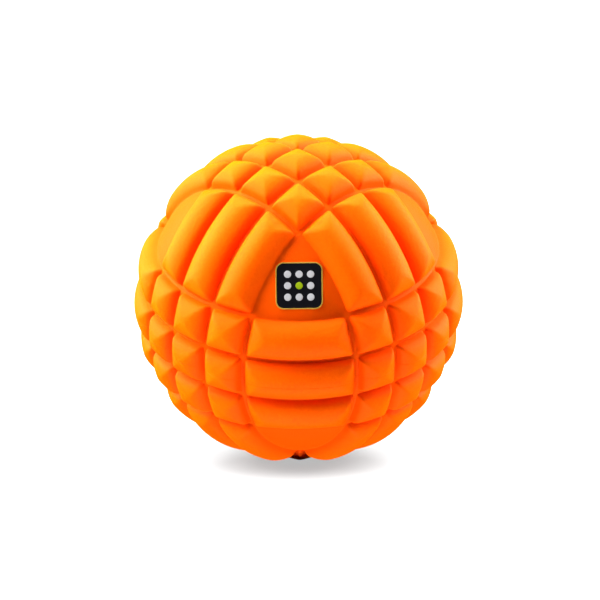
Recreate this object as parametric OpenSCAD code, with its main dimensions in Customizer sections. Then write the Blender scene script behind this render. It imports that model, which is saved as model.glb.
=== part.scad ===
// Massage ball: two moulded foam half covers with a raised tread, glued round a hollow two-piece core,
// with a small square badge let into one of the smooth triangular panels.
// The origin is the centre of the ball. The ball stands on the tip of one corner pyramid, so that tip
// lies on -Z, and the badge faces -Y, turned a little upwards.

/* [Ball] */
// Diameter over the crowns of the tread
ball_d = 127; // [100:1:160]
// Angle that one tread strip spans at the centre of the ball, where three strips make a band
strip_angle = 16; // [14:0.1:17]
// Depth of the tread grooves
groove_depth = 4.9; // [2:0.1:6]
// Width of the flat floor of a groove
groove_floor_w = 1.8; // [0.8:0.1:3]
// Squareness of the crowns, where 2 is a parabola and more is flatter
crown_power = 2; // [2:0.1:4]
// Share of the groove depth that the steep walls beside a groove floor make up
wall_share = 0.4; // [0:0.05:0.5]
// Steepness of those walls
wall_power = 14; // [4:1:16]
// Part of that share that is left on the flanks towards the smooth panels
panel_wall = 0.25; // [0:0.05:1]

/* [Foam and core] */
// Thickness of the foam under the groove floors
foam_t = 8.6; // [6:0.1:14]
// Thickness of the glue film between the foam and the core
glue_t = 0.1; // [0.05:0.05:0.5]
// Wall thickness of the core shells
core_wall = 2.5; // [2:0.1:5]
// Height of the lap joint between the core shells
lap_h = 3; // [1:0.5:6]
// Clearance in the lap joint
lap_gap = 0.1; // [0.05:0.05:0.3]

/* [Badge] */
// Side of the square badge
badge_w = 17.3; // [12:0.1:18]
// Corner radius of the badge
badge_corner_r = 3; // [1:0.1:5]
// Thickness of the badge plate
badge_t = 1.6; // [1:0.1:2.5]
// Distance of the badge above the middle of its panel
badge_lift = 0.8; // [0:0.1:1.5]
// Depth of the badge's front face below the level of the panel's middle
badge_sink = 0.6; // [0:0.05:0.8]
// Width of the coloured rim round the badge
rim_w = 0.45; // [0.3:0.05:1]
// Height of the rim and the dots above the badge's front face
mark_h = 0.12; // [0.05:0.01:0.3]
// Diameter of a dot
dot_d = 2.7; // [1.5:0.1:3.2]
// Distance between the centres of neighbouring dots
dot_pitch = 4.2; // [3.5:0.1:4.4]

/* [Hidden] */

$fn = 96;

ball_r = ball_d / 2;
floor_r = ball_r - groove_depth;
cavity_r = floor_r - foam_t;
core_r = cavity_r - glue_t;
core_inner_r = core_r - core_wall;
lap_r = core_r - core_wall / 2;

half_strip = strip_angle / 2;
band_edge = 3 * half_strip;
floor_half = asin(groove_floor_w / 2 / floor_r);

// Distances of the grid lines from a groove's centre line, out to the crown of a strip
wall_foot = 0.1;
wall_top = 0.4;
slope = half_strip - floor_half;
line_steps = [0, floor_half, floor_half + wall_foot * slope, floor_half + wall_top * slope, half_strip];
steps = len(line_steps) - 1;
// The grid lines of a patch follow four half strips, then divide what is left of it evenly
strip_lines = 4 * steps;
middle_lines = 2;
lines = strip_lines + middle_lines;

// A panel's centre is equally far from all three axes
panel_lat = asin(1 / sqrt(3));
// The corner pyramid's tip lies in the middle of the outer strips of two crossing bands
lean = acos(sqrt(1 - 2 * pow(sin(strip_angle), 2)));

badge_face = floor_r - badge_sink;
badge_turn = lean - panel_lat - atan(badge_lift / badge_face);

// ---- Tread ----

// Height of the tread at a latitude off one band's middle, from 0 on a floor to 1 on a crown
function rise(lat, walls) =
    let (
        from_groove = min(abs(lat - half_strip), abs(lat - band_edge)),
        climb = (from_groove - floor_half) / (half_strip - floor_half),
        fall = 1 - max(0, min(1, climb))
    )
    1 - (1 - walls) * pow(fall, crown_power) - walls * pow(fall, wall_power);

// Outer point of the foam in the direction of the unit vector u, where panels lie level with the floors
function tread_point(u) =
    let (
        lats = [abs(asin(u.x)), abs(asin(u.y)), abs(asin(u.z))],
        near = min(lats),
        next_near = lats[0] + lats[1] + lats[2] - near - max(lats),
        to_panel = near > strip_angle ? max(0, min(1, (next_near - band_edge) / half_strip)) : 0,
        walls = wall_share * (1 - (1 - panel_wall) * to_panel),
        height = near < band_edge ? min([for (lat = lats) rise(lat, walls)]) : 0
    )
    u * (floor_r + groove_depth * height);

// ---- Grid of lines over one of the six patches that meet like the faces of a cube ----

// Latitude of line k, when the patch ends at the latitude last
function line_lat(k, last) =
    let (half = floor(k / steps), step = k % steps, crown_end = 4 * half_strip)
    k > strip_lines ? crown_end + (last - crown_end) * (k - strip_lines) / (lines - strip_lines)
    : half % 2 == 0 ? (half + 1) * half_strip - line_steps[steps - step]
    : half * half_strip + line_steps[step];

// Latitude at which the patch ends along line k of the other direction
function end_lat(k) = asin(cos(line_lat(k, panel_lat)) / sqrt(2));

// Unit vector where lines i and j cross on the patch about +Z
function patch_dir(i, j) =
    let (
        x = sign(i) * sin(line_lat(abs(i), end_lat(abs(j)))),
        y = sign(j) * sin(line_lat(abs(j), end_lat(abs(i)))),
        z = abs(i) == lines ? abs(x) : abs(j) == lines ? abs(y) : sqrt(1 - x * x - y * y)
    )
    [x, y, z];

// The same crossing on the patch about +X, turned about Z by a whole number of quarters
function side_dir(i, j, quarter) =
    let (v = patch_dir(i, j))
    quarter == 0 ? [v.z, v.x, v.y]
    : quarter == 1 ? [-v.x, v.z, v.y]
    : quarter == 2 ? [-v.z, -v.x, v.y]
    : [v.x, -v.z, v.y];

// Two triangles for the cell at row and col, split along the higher diagonal so that ridges stay sharp
function cell(points, first, cols, row, col) =
    let (
        a = first + row * cols + col,
        b = a + 1,
        c = b + cols,
        d = a + cols
    )
    norm(points[a]) + norm(points[c]) > norm(points[b]) + norm(points[d])
        ? [[a, c, b], [a, d, c]]
        : [[a, d, b], [b, d, c]];

// Half ball with the tread outside and a flat face on the plane of the middle of one band
module tread_half() {
    cols = 2 * lines + 1;
    top = [for (j = [-lines:lines], i = [-lines:lines]) tread_point(patch_dir(i, j))];
    sides = [for (q = [0:3], j = [0:lines], i = [-lines:lines]) tread_point(side_dir(i, j, q))];
    points = concat(top, sides, [[0, 0, 0]]);
    centre = len(points) - 1;
    side_first = [for (q = [0:3]) len(top) + q * cols * (lines + 1)];
    top_cells = [for (row = [0:cols - 2], col = [0:cols - 2]) each cell(points, 0, cols, row, col)];
    side_cells = [
        for (first = side_first, row = [0:lines - 1], col = [0:cols - 2])
            each cell(points, first, cols, row, col)
    ];
    seam = [for (first = side_first, col = [0:cols - 2]) [centre, first + col, first + col + 1]];
    polyhedron(points, concat(top_cells, side_cells, seam), convexity = 6);
}

// ---- Placing ----

// From the mould's frame, with its pole on +Z and bands along X and Y, to the standing ball
module stand() {
    rotate([lean, 0, 0]) rotate([0, 0, 45]) children();
}

// From a badge drawn on the XY plane, to its place with its front face level with badge_face
module on_panel() {
    rotate([badge_turn, 0, 0]) rotate([90, 0, 0]) translate([0, 0, badge_face]) children();
}

// ---- Foam ----

module foam_upper() {
    color("orangered")
        difference() {
            stand()
                difference() {
                    tread_half();
                    sphere(r = cavity_r);
                }
            on_panel()
                translate([0, 0, -badge_t]) linear_extrude(groove_depth) rounded_square(badge_w);
        }
}

module foam_lower() {
    color("orangered")
        stand()
            mirror([0, 0, 1])
                difference() {
                    tread_half();
                    sphere(r = cavity_r);
                }
}

// ---- Core ----

// Upper right quarter of the core's wall in section
module wall_section() {
    difference() {
        intersection() {
            circle(r = core_r);
            square(core_r);
        }
        circle(r = core_inner_r);
    }
}

module core_upper() {
    color("dimgray")
        stand()
            rotate_extrude() {
                wall_section();
                translate([core_inner_r, -lap_h]) square([lap_r - lap_gap - core_inner_r, lap_h + lap_gap]);
            }
}

module core_lower() {
    color("dimgray")
        stand()
            rotate_extrude()
                difference() {
                    mirror([0, 1]) wall_section();
                    translate([0, -lap_h - lap_gap]) square([lap_r, lap_h + 2 * lap_gap]);
                }
}

// ---- Badge ----

module rounded_square(w, r = badge_corner_r) {
    square([w, w - 2 * r], center = true);
    square([w - 2 * r, w], center = true);
    for (x = [-1, 1], y = [-1, 1])
        translate([x, y] * (w / 2 - r)) circle(r = r);
}

module dot() {
    cylinder(d = dot_d, h = mark_h);
}

module badge_plate() {
    color("black")
        on_panel()
            translate([0, 0, -badge_t])
                linear_extrude(badge_t) rounded_square(badge_w - 2 * rim_w, badge_corner_r - rim_w);
}

module badge_rim() {
    color("yellowgreen")
        on_panel()
            translate([0, 0, -badge_t])
                linear_extrude(badge_t + mark_h)
                    difference() {
                        rounded_square(badge_w);
                        rounded_square(badge_w - 2 * rim_w, badge_corner_r - rim_w);
                    }
}

module badge_dots() {
    color("lightgray")
        on_panel()
            for (x = [-1:1], y = [-1:1])
                if (x != 0 || y != 0)
                    translate([x, y] * dot_pitch) dot();
}

module badge_centre_dot() {
    color("limegreen") on_panel() dot();
}

foam_upper();
foam_lower();
core_upper();
core_lower();
badge_plate();
badge_rim();
badge_dots();
badge_centre_dot();
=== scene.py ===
"""Massage ball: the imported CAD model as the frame, with finished foam covers, badge and studio."""

import math

import bmesh
import bpy
import numpy as np
from mathutils import Matrix, Vector


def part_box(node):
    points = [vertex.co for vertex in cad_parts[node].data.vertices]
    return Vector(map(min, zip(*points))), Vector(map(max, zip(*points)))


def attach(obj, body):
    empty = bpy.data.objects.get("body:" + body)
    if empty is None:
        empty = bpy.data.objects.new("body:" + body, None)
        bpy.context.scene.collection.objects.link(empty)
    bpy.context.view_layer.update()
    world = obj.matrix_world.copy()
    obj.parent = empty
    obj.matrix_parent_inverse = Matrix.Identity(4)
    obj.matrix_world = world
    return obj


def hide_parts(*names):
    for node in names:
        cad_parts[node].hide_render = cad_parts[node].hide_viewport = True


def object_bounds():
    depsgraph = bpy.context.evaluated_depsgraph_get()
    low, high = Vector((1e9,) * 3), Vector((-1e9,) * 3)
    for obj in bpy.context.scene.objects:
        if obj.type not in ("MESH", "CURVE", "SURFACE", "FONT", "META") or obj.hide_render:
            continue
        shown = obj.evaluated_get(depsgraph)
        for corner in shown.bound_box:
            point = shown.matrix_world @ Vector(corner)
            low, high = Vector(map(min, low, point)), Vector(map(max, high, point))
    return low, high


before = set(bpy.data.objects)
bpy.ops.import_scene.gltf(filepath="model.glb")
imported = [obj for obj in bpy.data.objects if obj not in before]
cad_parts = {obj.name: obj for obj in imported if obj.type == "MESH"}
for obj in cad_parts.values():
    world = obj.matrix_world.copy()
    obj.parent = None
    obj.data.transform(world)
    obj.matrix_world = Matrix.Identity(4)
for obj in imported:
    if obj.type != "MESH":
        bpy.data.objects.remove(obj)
cad_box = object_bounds()

# ---------------------------------------------------------------- sizes, in metres and radians

# The design's own sizes, under the names that they have in the CAD part
BALL_R = cad_box[1].z
GROOVE_DEPTH = 0.0049
GROOVE_FLOOR_W = 0.0018
STRIP = math.radians(16)
CROWN_POWER = 2.0
WALL_POWER = 14.0
WALL_SHARE = 0.4
PANEL_WALL = 0.25

FLOOR_R = BALL_R - GROOVE_DEPTH
HALF_STRIP = STRIP / 2
BAND_EDGE = 3 * HALF_STRIP
CROWN_END = 4 * HALF_STRIP
FLOOR_HALF = math.asin(GROOVE_FLOOR_W / 2 / FLOOR_R)
PANEL_LAT = math.asin(1 / math.sqrt(3))

GLUE_T = 0.0001
CAVITY_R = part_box("core_upper")[1].x + GLUE_T

BADGE_W = 0.0173
BADGE_CORNER_R = 0.003
BADGE_RIM_W = 0.00045
BADGE_SINK = 0.0006
BADGE_T = 0.0016
BADGE_LIFT = 0.0008
BADGE_FACE = FLOOR_R - BADGE_SINK

# The mould's pole leans forward until the tip of a corner pyramid is straight below the centre
LEAN = math.acos(math.sqrt(1 - 2 * math.sin(STRIP) ** 2))
BADGE_TURN = LEAN - PANEL_LAT - math.atan(BADGE_LIFT / BADGE_FACE)

# How far ridges and the feet of walls are rounded, as shares of the way from crown to floor
RIDGE_ROUND = 0.14
FLOOR_FILLET = 0.04

# Notch along the glue line between the two covers
SEAM_DEPTH = 0.00012
SEAM_HALF_W = 0.00035
SEAM_POWER = 1.5

# Grid lines: on half a groove's floor, up one flank, across half a panel, and up the cavity
FLOOR_LINES = np.array([0, 0.45, 0.8, 1])
FLANK_LINES = 12
FLANK_SPACING = 1.2
PANEL_LINES = 25
SEAM_LINES = np.array([0.35, 0.7, 1.0])
CAVITY_ROWS = 12

# Points closer than this are one point
MERGE_DIGITS = 8
WELD_DIST = 1e-7

# Marks and edges of the badge
DOT_D = 0.0027
DOT_PITCH = 0.0042
DOT_FOOT = 0.0002
MARK_H = 0.00012
PLATE_CHAMFER = 0.00005
POCKET_TIGHTER = 0.00004

# Angles in degrees between faces, from which an edge is shaded as sharp
FOAM_SHARP = 40
BADGE_SHARP = 35
DOT_SHARP = 50


# ---------------------------------------------------------------- tread surface

def smooth_max(a, b, width):
    """The larger of a and b, rounded where they are within width of each other."""
    near = np.maximum(width - np.abs(a - b), 0) / width
    return np.maximum(a, b) + near * near * width / 4


def fall(lat):
    """How far the tread has fallen at a latitude from a band's middle: 0 on a crown, 1 on a floor."""
    lat = np.abs(lat)
    from_groove = np.minimum(np.abs(lat - HALF_STRIP), np.abs(lat - BAND_EDGE))
    climb = (from_groove - FLOOR_HALF) / (HALF_STRIP - FLOOR_HALF)
    return 1 - np.minimum(smooth_max(climb, 0, FLOOR_FILLET), 1)


def tread_radius(dirs):
    """Distance of the foam's outer surface from the centre, for unit vectors in the mould's frame."""
    lats = np.arcsin(np.clip(dirs, -1, 1))
    falls = [fall(lats[:, axis]) for axis in range(3)]
    deepest = smooth_max(smooth_max(falls[0], falls[1], RIDGE_ROUND), falls[2], RIDGE_ROUND)
    deepest = np.minimum(deepest, 1)
    near, next_near = np.sort(np.abs(lats), axis=1)[:, :2].T
    to_panel = (near > STRIP) * np.clip((next_near - BAND_EDGE) / HALF_STRIP, 0, 1)
    walls = WALL_SHARE * (1 - (1 - PANEL_WALL) * to_panel)
    height = 1 - (1 - walls) * deepest ** CROWN_POWER - walls * deepest ** WALL_POWER
    in_band = near < BAND_EDGE
    seam = np.clip(1 - np.abs(dirs[:, 2]) * BALL_R / SEAM_HALF_W, 0, 1)
    return FLOOR_R + GROOVE_DEPTH * height * in_band - SEAM_DEPTH * seam ** SEAM_POWER


# ---------------------------------------------------------------- grid over the ball

class Lines:
    """Grid lines of one direction of a patch, from its middle outwards or from edge to edge."""

    def __init__(self, fixed, share, both_sides):
        if both_sides:
            self.sign = np.concatenate([-np.ones(len(fixed) - 1), [0], np.ones(len(fixed) - 1)])
            fixed = np.concatenate([fixed[:0:-1], fixed])
            share = np.concatenate([share[:0:-1], share])
        else:
            self.sign = np.ones(len(fixed))
        self.fixed, self.share = fixed, share
        own = fixed + share * (PANEL_LAT - CROWN_END)
        self.end = np.arcsin(np.cos(own) / math.sqrt(2))


def strip_lines():
    """Latitudes of the lines from a band's middle to the crown past its edge, closer at the grooves."""
    floor = FLOOR_HALF * FLOOR_LINES
    flank = FLOOR_HALF + (HALF_STRIP - FLOOR_HALF) * np.linspace(0, 1, FLANK_LINES)[1:] ** FLANK_SPACING
    steps = np.concatenate([floor, flank])
    lats = [0.0]
    for half in range(4):
        inwards = half % 2 == 0
        groove = (half + 1 if inwards else half) * HALF_STRIP
        lats += list(groove - steps[-2::-1]) if inwards else list(groove + steps[1:])
    return np.array(lats)


def grid_lines():
    """Lines across a patch, and the lines up from the seam, which start with the notch's own rows."""
    strips = strip_lines()
    rest = np.linspace(0, 1, PANEL_LINES)[1:]
    fixed = np.concatenate([strips, np.full(len(rest), CROWN_END)])
    share = np.concatenate([np.zeros(len(strips)), rest])
    notch = np.arcsin(SEAM_HALF_W / BALL_R * SEAM_LINES)
    up_fixed = np.concatenate([[0], notch, fixed[1:]])
    up_share = np.concatenate([[0], np.zeros(len(notch)), share[1:]])
    return Lines(fixed, share, True), Lines(up_fixed, up_share, False)


def patch(cols, rows):
    """Unit vectors at the crossings of a patch about +Z, as an array of rows and columns."""
    lat_x = cols.fixed + cols.share * (rows.end[:, None] - CROWN_END)
    lat_y = rows.fixed[:, None] + rows.share[:, None] * (cols.end - CROWN_END)
    x = cols.sign * np.sin(lat_x)
    y = rows.sign[:, None] * np.sin(lat_y)
    return np.stack([x, y, np.sqrt(np.maximum(1 - x * x - y * y, 0))], axis=-1)


def patch_faces(points, shape, first):
    """Two triangles for each cell, split along the higher diagonal so that ridges stay clean."""
    rows, cols = shape
    index = first + np.arange(rows * cols).reshape(rows, cols)
    a, b = index[:-1, :-1].ravel(), index[:-1, 1:].ravel()
    d, c = index[1:, :-1].ravel(), index[1:, 1:].ravel()
    radius = np.linalg.norm(points, axis=1)
    along_ac = (radius[a] + radius[c] > radius[b] + radius[d])[:, None]
    one = np.where(along_ac, np.stack([a, b, c], 1), np.stack([a, b, d], 1))
    two = np.where(along_ac, np.stack([a, c, d], 1), np.stack([b, c, d], 1))
    return np.concatenate([one, two])


def foam_half():
    """Vertices and faces of the upper half cover in the mould's frame: tread, seam face and cavity."""
    across, up = grid_lines()
    top = patch(across, across)
    side = patch(across, up)
    out, along, height = side[..., 2], side[..., 0], side[..., 1]
    turned = [
        np.stack([c * out - s * along, s * out + c * along, height], axis=-1)
        for c, s in ((1, 0), (0, 1), (-1, 0), (0, -1))
    ]
    patches = [top] + turned
    dirs = np.concatenate([p.reshape(-1, 3) for p in patches])
    points = dirs * tread_radius(dirs)[:, None]
    faces, ring, first = [], [], 0
    for number, p in enumerate(patches):
        faces.append(patch_faces(points, p.shape[:2], first))
        if number:
            ring += list(range(first, first + p.shape[1] - 1))
        first += p.shape[0] * p.shape[1]
    ring = np.array(ring)

    # Cavity: rows from the seam plane to the pole, in the same directions as the seam's points
    flat = points[ring][:, :2] / np.linalg.norm(points[ring][:, :2], axis=1)[:, None]
    rises = np.linspace(0, math.pi / 2, CAVITY_ROWS + 1)[:-1]
    cavity = [
        np.column_stack([flat * math.cos(r), np.full(len(ring), math.sin(r))]) * CAVITY_R for r in rises
    ]
    pole = first + len(rises) * len(ring)
    points = np.concatenate([points, *cavity, [[0, 0, CAVITY_R]]])
    rows = [ring] + [first + k * len(ring) + np.arange(len(ring)) for k in range(len(rises))]
    for low, high in zip(rows[:-1], rows[1:]):
        low_next, high_next = np.roll(low, -1), np.roll(high, -1)
        faces.append(np.stack([low, high, low_next], 1))
        faces.append(np.stack([low_next, high, high_next], 1))
    faces.append(np.stack([rows[-1], np.full(len(ring), pole), np.roll(rows[-1], -1)], 1))
    return merged(points, np.concatenate(faces))


def merged(points, faces):
    """The same mesh with the points that patches share joined, and no face with a repeated point."""
    _, keep, new = np.unique(np.round(points, MERGE_DIGITS), axis=0, return_index=True, return_inverse=True)
    faces = new.reshape(-1)[faces]
    whole = (faces[:, 0] != faces[:, 1]) & (faces[:, 1] != faces[:, 2]) & (faces[:, 0] != faces[:, 2])
    return points[keep], faces[whole]


# ---------------------------------------------------------------- making objects

TO_BALL = Matrix.Rotation(LEAN, 4, "X") @ Matrix.Rotation(math.radians(45), 4, "Z")
TO_BADGE = Matrix.Rotation(BADGE_TURN, 4, "X") @ Matrix.Rotation(math.radians(90), 4, "X")


def new_object(name, points, faces):
    """Object of this mesh, linked into the scene."""
    mesh = bpy.data.meshes.new(name)
    mesh.from_pydata([tuple(p) for p in points], [], [tuple(int(i) for i in f) for f in faces])
    mesh.update()
    obj = bpy.data.objects.new(name, mesh)
    bpy.context.scene.collection.objects.link(obj)
    return obj


def apply_modifiers(obj):
    """Replaces the object's mesh by what its modifiers make of it."""
    graph = bpy.context.evaluated_depsgraph_get()
    made = bpy.data.meshes.new_from_object(obj.evaluated_get(graph), depsgraph=graph)
    obj.modifiers.clear()
    old, obj.data = obj.data, made
    made.name = obj.name
    bpy.data.meshes.remove(old)


def finish_piece(obj, node, material, sharp):
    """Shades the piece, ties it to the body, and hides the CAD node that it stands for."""
    obj.data.shade_smooth()
    obj.data.set_sharp_from_angle(angle=math.radians(sharp))
    obj.data.materials.clear()
    obj.data.materials.append(material)
    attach(obj, "root")
    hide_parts(node)


def rounded_square(width, corner_r, steps=10):
    """Outline of a square with round corners, anticlockwise from the right-hand side."""
    inner = width / 2 - corner_r
    points = []
    for quarter, (sx, sy) in enumerate([(1, 1), (-1, 1), (-1, -1), (1, -1)]):
        for k in range(steps + 1):
            a = math.radians(90) * (quarter + k / steps)
            points.append((sx * inner + corner_r * math.cos(a), sy * inner + corner_r * math.sin(a)))
    return points


def stacked(rings, ends=True):
    """Points and faces of a mesh through rings of equal length, from bottom to top, with flat ends."""
    count = len(rings[0])
    points = [p for ring in rings for p in ring]
    faces = []
    for level in range(len(rings) - 1):
        for k in range(count):
            a, b = level * count + k, level * count + (k + 1) % count
            faces.append((a, b, b + count, a + count))
    if ends:
        faces.append(tuple(reversed(range(count))))
        faces.append(tuple(range(len(points) - count, len(points))))
    return points, faces


def joined(name, parts):
    """One object of several parts, each a pair of points and faces."""
    points, faces = [], []
    for part_points, part_faces in parts:
        first = len(points)
        points += part_points
        faces += [tuple(first + i for i in face) for face in part_faces]
    return new_object(name, points, faces)


def weld(obj):
    """Joins points that coincide."""
    shape = bmesh.new()
    shape.from_mesh(obj.data)
    bmesh.ops.remove_doubles(shape, verts=shape.verts, dist=WELD_DIST)
    bmesh.ops.recalc_face_normals(shape, faces=shape.faces)
    shape.to_mesh(obj.data)
    shape.free()


def circle(radius, steps, x=0.0, y=0.0):
    """Outline of a circle, anticlockwise from the right-hand side."""
    angles = [2 * math.pi * k / steps for k in range(steps)]
    return [(x + radius * math.cos(a), y + radius * math.sin(a)) for a in angles]


def at_height(outline, z):
    """The outline as a ring of points at the height z."""
    return [(x, y, z) for x, y in outline]


# ---------------------------------------------------------------- materials

# Colours are linear, scales are in cells per metre, and bump heights in metres
FOAM_DARKER = (0.91, 0.122, 0.0)
FOAM_LIGHTER = (0.99, 0.156, 0.0)
# Painted shade: the darker orange that the foam is given towards the groove floors and panels
FOAM_PAINTED_SHADE = (0.84, 0.105, 0.0)
FOAM_SPECULAR = 0.035
BLOTCH_SCALE = 35.0
SKIN_SCALE = 1000.0
SKIN_SHARE = 0.6
SKIN_HEIGHT = 0.0002
PORE_SCALE = 700.0
PORE_WIDTH = 0.12
PORE_DEPTH = 0.0001
ROUGHEST = 0.56
SMOOTHEST = 0.44

PLASTIC_SPECULAR = 0.3
DRIFT_SCALE = 220.0
GRAIN_HEIGHT = 0.0001


def new_material(name):
    """A material with its node tree and its shader node."""
    material = bpy.data.materials.new(name)
    material.use_nodes = True
    tree = material.node_tree
    return material, tree, tree.nodes["Principled BSDF"]


def add(tree, kind, **inputs):
    """Adds a node, sets its inputs by name, and links those given as sockets."""
    node = tree.nodes.new(kind)
    for name, value in inputs.items():
        socket = node.inputs[name.replace("_", " ")]
        if isinstance(value, bpy.types.NodeSocket):
            tree.links.new(value, socket)
        else:
            socket.default_value = value
    return node


def set_ramp(ramp, low, high, start=0.0, end=1.0):
    """Sets the two ends of a colour ramp."""
    for stop, colour, position in zip(ramp.color_ramp.elements, (low, high), (start, end)):
        stop.color, stop.position = (*colour, 1), position


def foam_material():
    """Moulded closed-cell EVA foam: saturated orange with a satin skin, fine grain, rare pores, and shade
    painted towards the groove floors and panels.
    """
    material, tree, bsdf = new_material("eva_foam")
    coords = tree.nodes.new("ShaderNodeTexCoord").outputs["Object"]

    blotch = add(tree, "ShaderNodeTexNoise", Vector=coords, Scale=BLOTCH_SCALE, Detail=2.0)
    grain = add(tree, "ShaderNodeTexNoise", Vector=coords, Scale=SKIN_SCALE, Detail=4.0, Roughness=0.7)
    pores = add(tree, "ShaderNodeTexVoronoi", Vector=coords, Scale=PORE_SCALE)

    uneven = add(
        tree, "ShaderNodeMixRGB", Fac=SKIN_SHARE, Color1=blotch.outputs["Fac"], Color2=grain.outputs["Fac"],
    )
    tint = add(tree, "ShaderNodeValToRGB", Fac=uneven.outputs["Color"])
    set_ramp(tint, FOAM_DARKER, FOAM_LIGHTER, start=0.35, end=0.65)

    # Painted shade: the colour is deeper towards the groove floors and the panels, darkened where the
    # recesses lie in shade
    radius = tree.nodes.new("ShaderNodeVectorMath")
    radius.operation = "LENGTH"
    tree.links.new(coords, radius.inputs[0])
    shade_by_depth = add(tree, "ShaderNodeMapRange", Value=radius.outputs["Value"])
    shade_by_depth.inputs["From Min"].default_value = BALL_R
    shade_by_depth.inputs["From Max"].default_value = FLOOR_R
    shaded = add(
        tree, "ShaderNodeMixRGB", Fac=shade_by_depth.outputs["Result"], Color1=tint.outputs["Color"],
        Color2=(*FOAM_PAINTED_SHADE, 1),
    )
    tree.links.new(shaded.outputs["Color"], bsdf.inputs["Base Color"])

    pit = add(tree, "ShaderNodeMapRange", Value=pores.outputs["Distance"])
    pit.inputs["From Max"].default_value = PORE_WIDTH
    rough = add(tree, "ShaderNodeMapRange", Value=grain.outputs["Fac"])
    rough.inputs["To Min"].default_value = SMOOTHEST
    rough.inputs["To Max"].default_value = ROUGHEST
    tree.links.new(rough.outputs["Result"], bsdf.inputs["Roughness"])

    skin = add(tree, "ShaderNodeBump", Height=grain.outputs["Fac"], Strength=0.8, Distance=SKIN_HEIGHT)
    pitted = add(
        tree, "ShaderNodeBump", Height=pit.outputs["Result"], Strength=0.25, Distance=PORE_DEPTH,
        Normal=skin.outputs["Normal"],
    )
    tree.links.new(pitted.outputs["Normal"], bsdf.inputs["Normal"])
    bsdf.inputs["Specular IOR Level"].default_value = FOAM_SPECULAR
    return material


def plastic_material(name, low, high, roughness, grain_scale=2500.0, grain=0.05):
    """Moulded plastic whose colour drifts between low and high, with a fine surface grain."""
    material, tree, bsdf = new_material(name)
    coords = tree.nodes.new("ShaderNodeTexCoord").outputs["Object"]
    drift = add(tree, "ShaderNodeTexNoise", Vector=coords, Scale=DRIFT_SCALE, Detail=3.0)
    tint = add(tree, "ShaderNodeValToRGB", Fac=drift.outputs["Fac"])
    set_ramp(tint, low, high)
    tree.links.new(tint.outputs["Color"], bsdf.inputs["Base Color"])
    fine = add(tree, "ShaderNodeTexNoise", Vector=coords, Scale=grain_scale, Detail=2.0)
    bump = add(tree, "ShaderNodeBump", Height=fine.outputs["Fac"], Strength=grain, Distance=GRAIN_HEIGHT)
    tree.links.new(bump.outputs["Normal"], bsdf.inputs["Normal"])
    bsdf.inputs["Roughness"].default_value = roughness
    bsdf.inputs["Specular IOR Level"].default_value = PLASTIC_SPECULAR
    return material


# ---------------------------------------------------------------- pieces

def make_foam():
    """Two half covers, the upper one with a pocket for the badge."""
    material = foam_material()
    points, faces = foam_half()
    mirrored = points * np.array([1, 1, -1])
    turn = np.array(TO_BALL.to_3x3())
    upper = new_object("foam_cover_upper", points @ turn.T, faces)
    lower = new_object("foam_cover_lower", mirrored @ turn.T, faces[:, ::-1])

    # The pocket is cut a little tighter than the badge, so that no gap shows round it
    outline = rounded_square(BADGE_W - POCKET_TIGHTER, BADGE_CORNER_R)
    rings = [at_height(outline, BADGE_FACE - BADGE_T), at_height(outline, BALL_R)]
    cutter = new_object("pocket", *stacked(rings))
    cutter.data.transform(TO_BADGE)
    cut = upper.modifiers.new("pocket", "BOOLEAN")
    cut.operation, cut.solver, cut.object = "DIFFERENCE", "EXACT", cutter
    bpy.context.view_layer.update()
    apply_modifiers(upper)
    bpy.data.objects.remove(cutter)

    finish_piece(upper, "foam_upper", material, FOAM_SHARP)
    finish_piece(lower, "foam_lower", material, FOAM_SHARP)


def dot(x, y, steps=40):
    """Points and faces of a low dome on the badge's face, with its foot sunk into the plate."""
    dome = [(1.0, 0.45), (0.97, 0.75), (0.9, 0.9), (0.5, 1.0)]
    rings = [(1.0, -DOT_FOOT)] + [(share, MARK_H * rise) for share, rise in dome]
    return stacked([
        at_height(circle(DOT_D / 2 * share, steps, x, y), BADGE_FACE + z) for share, z in rings
    ])


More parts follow.
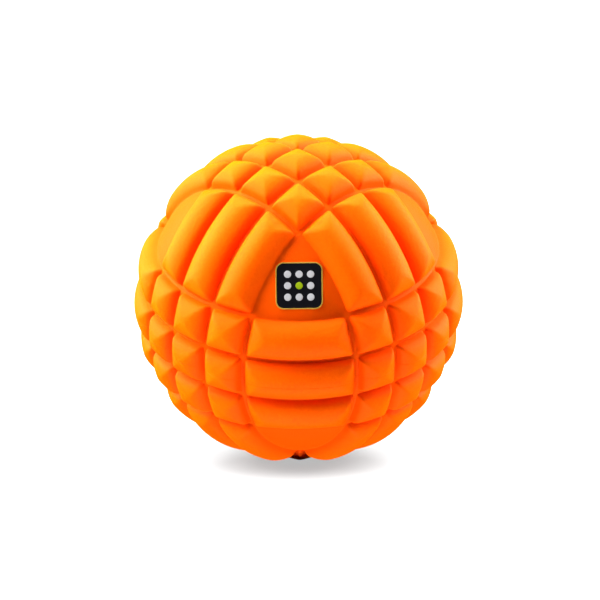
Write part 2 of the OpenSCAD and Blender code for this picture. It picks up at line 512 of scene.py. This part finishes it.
def make_badge():
    """Plate, rim, grey dots and green dot, each drawn flat and then set on its panel."""
    black = plastic_material("badge_black", (0.002, 0.002, 0.005), (0.005, 0.005, 0.010), 0.42)
    rim = plastic_material("badge_rim", (0.40, 0.26, 0.035), (0.48, 0.33, 0.05), 0.45)
    grey = plastic_material("badge_grey", (0.45, 0.45, 0.47), (0.55, 0.55, 0.57), 0.5, grain=0.2)
    green = plastic_material("badge_green", (0.28, 0.37, 0.004), (0.35, 0.45, 0.006), 0.45, grain=0.15)

    base, face = BADGE_FACE - BADGE_T, BADGE_FACE
    inner_w, inner_r = BADGE_W - 2 * BADGE_RIM_W, BADGE_CORNER_R - BADGE_RIM_W
    plate = new_object("badge_panel", *stacked([
        at_height(rounded_square(inner_w, inner_r), base),
        at_height(rounded_square(inner_w, inner_r), face - PLATE_CHAMFER),
        at_height(rounded_square(inner_w - 2 * PLATE_CHAMFER, inner_r - PLATE_CHAMFER), face),
    ]))

    # The rim's section goes up its outer side, over a round crest and down its inner side
    crest = [(0, 0), (0.2, 0.8), (0.5, 1), (0.8, 0.8), (1, 0)]
    section = [(BADGE_RIM_W * share, face + MARK_H * rise) for share, rise in crest]
    rings = [
        at_height(rounded_square(BADGE_W - 2 * inset, BADGE_CORNER_R - inset), z)
        for inset, z in [(0, base), *section, (BADGE_RIM_W, base)]
    ]
    outline = new_object("badge_outline", *stacked(rings + [rings[0]], ends=False))
    weld(outline)

    spots = [(x, y) for x in (-1, 0, 1) for y in (-1, 0, 1) if (x, y) != (0, 0)]
    dots = joined("badge_grey_dots", [dot(x * DOT_PITCH, y * DOT_PITCH) for x, y in spots])
    centre_dot = new_object("badge_green_dot", *dot(0, 0))

    for obj, node, slot, material, sharp in (
        (plate, "badge_plate", "badge_black", black, BADGE_SHARP),
        (outline, "badge_rim", "badge_rim", rim, BADGE_SHARP),
        (dots, "badge_dots", "badge_grey", grey, DOT_SHARP),
        (centre_dot, "badge_centre_dot", "badge_green", green, DOT_SHARP),
    ):
        obj.data.transform(TO_BADGE)
        finish_piece(obj, node, material, sharp)


def dress_core():
    """Gives the hidden core shells a better material, and leaves their shape alone."""
    material = plastic_material(
        "core_plastic", (0.018, 0.018, 0.020), (0.026, 0.026, 0.029), 0.55, grain_scale=900.0, grain=0.1
    )
    for node in ("core_upper", "core_lower"):
        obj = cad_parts[node]
        obj.data.materials.clear()
        obj.data.materials.append(material)


# ---------------------------------------------------------------- studio

# Distances in metres, and the radiance of each softbox in watts per square metre and steradian
LIGHT_DISTANCE = 2.0
KEY_LIGHT = 14.4
RIM_LIGHT = 3.4
FILL_LIGHT = 15.5
BACK_LIGHT = 9.4
FRONT_LEFT_LIGHT = 1.5
FRONT_RIGHT_LIGHT = 2.2
FRONT_TOP_LIGHT = 0.4
TABLE_LIGHT = 8.0
CANOPY_LIGHT = 158.0

# The floor glows nearly white, and the canopy adds the part that the ball's shadow takes away
FLOOR_RADIUS = 1.7
FLOOR_GREY = 0.012
FLOOR_GLOW = 0.545
SHADE_R = 0.012
SHADE_DROP = 0.0002
BACKDROP_RADIUS = 8.0
BACKDROP_ROWS = 24
BACKDROP_GLOW = 1.5
PICTURE_GAMMA = 0.85

# The camera looks at AIM from a distance, and its picture is VIEW_W wide at the ball
SENSOR_W = 36
CAMERA_DISTANCE = 16.4 * BALL_R
CAMERA_RISE = math.radians(8.63)
CAMERA_SIDE = math.radians(-0.27)
CAMERA_ROLL = math.radians(-0.49)
VIEW_W = 3.653 * BALL_R
AIM = Vector((0.00055, 0, -0.00074))


def make_camera():
    data = bpy.data.cameras.new("camera")
    data.sensor_width = SENSOR_W
    data.lens = SENSOR_W * CAMERA_DISTANCE / VIEW_W
    camera = bpy.data.objects.new("camera", data)
    bpy.context.scene.collection.objects.link(camera)
    back = Vector((
        math.sin(CAMERA_SIDE) * math.cos(CAMERA_RISE),
        -math.cos(CAMERA_SIDE) * math.cos(CAMERA_RISE),
        math.sin(CAMERA_RISE),
    ))
    camera.location = back * CAMERA_DISTANCE
    look = (AIM - camera.location).to_track_quat("-Z", "Y").to_matrix().to_4x4()
    roll = Matrix.Rotation(CAMERA_ROLL, 4, "Z")
    camera.matrix_world = Matrix.Translation(camera.location) @ look @ roll
    bpy.context.scene.camera = camera


def softbox(name, azimuth, elevation, size, radiance):
    """A soft area light on a stand, seen from the ball in a direction given in degrees."""
    az, el = math.radians(azimuth), math.radians(elevation)
    away = Vector((math.sin(az) * math.cos(el), -math.cos(az) * math.cos(el), math.sin(el)))
    data = bpy.data.lights.new(name, "AREA")
    data.shape, data.size, data.size_y = "RECTANGLE", size[0], size[1]
    data.energy = radiance * math.pi * size[0] * size[1]
    light = bpy.data.objects.new(name, data)
    light.location = away * LIGHT_DISTANCE
    light.rotation_euler = away.to_track_quat("Z", "Y").to_euler()
    light.visible_camera = False
    bpy.context.scene.collection.objects.link(light)
    return light


def share_light(lights, obj, state):
    """Lets the lights fall on this object alone, or on everything but this object."""
    group = bpy.data.collections.new(f"{obj.name}_{state.lower()}")
    group.objects.link(obj)
    group.collection_objects[0].light_linking.link_state = state
    for light in lights:
        light.light_linking.receiver_collection = group


def stage_material(name, grey, glow):
    """Dull grey surface that gives off white light of its own."""
    material, tree, bsdf = new_material(name)
    bsdf.inputs["Base Color"].default_value = (grey, grey, grey, 1)
    bsdf.inputs["Roughness"].default_value = 0.9
    bsdf.inputs["Specular IOR Level"].default_value = 0.1
    bsdf.inputs["Emission Color"].default_value = (1, 1, 1, 1)
    bsdf.inputs["Emission Strength"].default_value = glow
    return material


def round_mesh(name, rings, steps):
    """Object of circles about the Z axis, each a radius and a height, where a radius of 0 closes it."""
    outlines = [at_height(circle(radius, steps), z) for radius, z in rings]
    obj = new_object(name, *stacked(outlines, ends=False))
    weld(obj)
    return obj


def make_studio():
    floor_z = cad_box[0].z
    floor = round_mesh("studio_floor", [(0, floor_z), (FLOOR_RADIUS, floor_z)], steps=96)
    floor.data.materials.append(stage_material("floor_white", FLOOR_GREY, FLOOR_GLOW))
    # The light below the table shines through it, and stands for what the table throws back
    for ray in ("diffuse", "glossy", "shadow"):
        setattr(floor, f"visible_{ray}", False)

    # Keeps that light off the tip that the ball stands on, as the ball's own shadow does
    shade_z = floor_z - SHADE_DROP
    shade = round_mesh("studio_shade", [(0, shade_z), (SHADE_R, shade_z)], steps=64)
    shade.data.materials.append(stage_material("shade_black", 0.0, 0.0))
    shade.visible_camera = False

    # The backdrop is seen by the camera alone, so that it lights nothing
    arc = [math.pi * k / BACKDROP_ROWS for k in range(BACKDROP_ROWS + 1)]
    rings = [(BACKDROP_RADIUS * math.sin(a), BACKDROP_RADIUS * math.cos(a)) for a in arc]
    backdrop = round_mesh("studio_backdrop", rings, steps=48)
    backdrop.data.materials.append(stage_material("backdrop_white", 0.0, BACKDROP_GLOW))
    for ray in ("diffuse", "glossy", "transmission", "volume_scatter", "shadow"):
        setattr(backdrop, f"visible_{ray}", False)

    # The room itself is dark
    world = bpy.data.worlds.new("studio_room")
    world.use_nodes = True
    world.node_tree.nodes["Background"].inputs["Strength"].default_value = 0
    bpy.context.scene.world = world

    # Each with its azimuth and elevation in degrees, and its width and height in metres
    ball_lights = [
        softbox("key_left", 268, 34, (2.0, 2.4), KEY_LIGHT),
        softbox("rim_left", 232, 18, (1.4, 1.2), RIM_LIGHT),
        softbox("fill_right", 108, 24, (1.6, 1.8), FILL_LIGHT),
        softbox("top_back", 180, 74, (1.6, 1.6), BACK_LIGHT),
        softbox("front_left", 305, 25, (1.2, 1.2), FRONT_LEFT_LIGHT),
        softbox("front_right", 55, 25, (1.2, 1.2), FRONT_RIGHT_LIGHT),
        softbox("front_top", 0, 45, (1.8, 1.2), FRONT_TOP_LIGHT),
        softbox("table", 0, -65, (2.4, 1.2), TABLE_LIGHT),
    ]
    canopy = softbox("canopy", 0, 86, (8.0, 4.0), CANOPY_LIGHT)

    # The ball's lights leave the floor alone, and the canopy lights nothing but the floor
    share_light(ball_lights, floor, "EXCLUDE")
    share_light([canopy], floor, "INCLUDE")

    view = bpy.context.scene.view_settings
    view.view_transform, view.gamma = "Standard", PICTURE_GAMMA


make_camera()
make_foam()
make_badge()
dress_core()
make_studio()
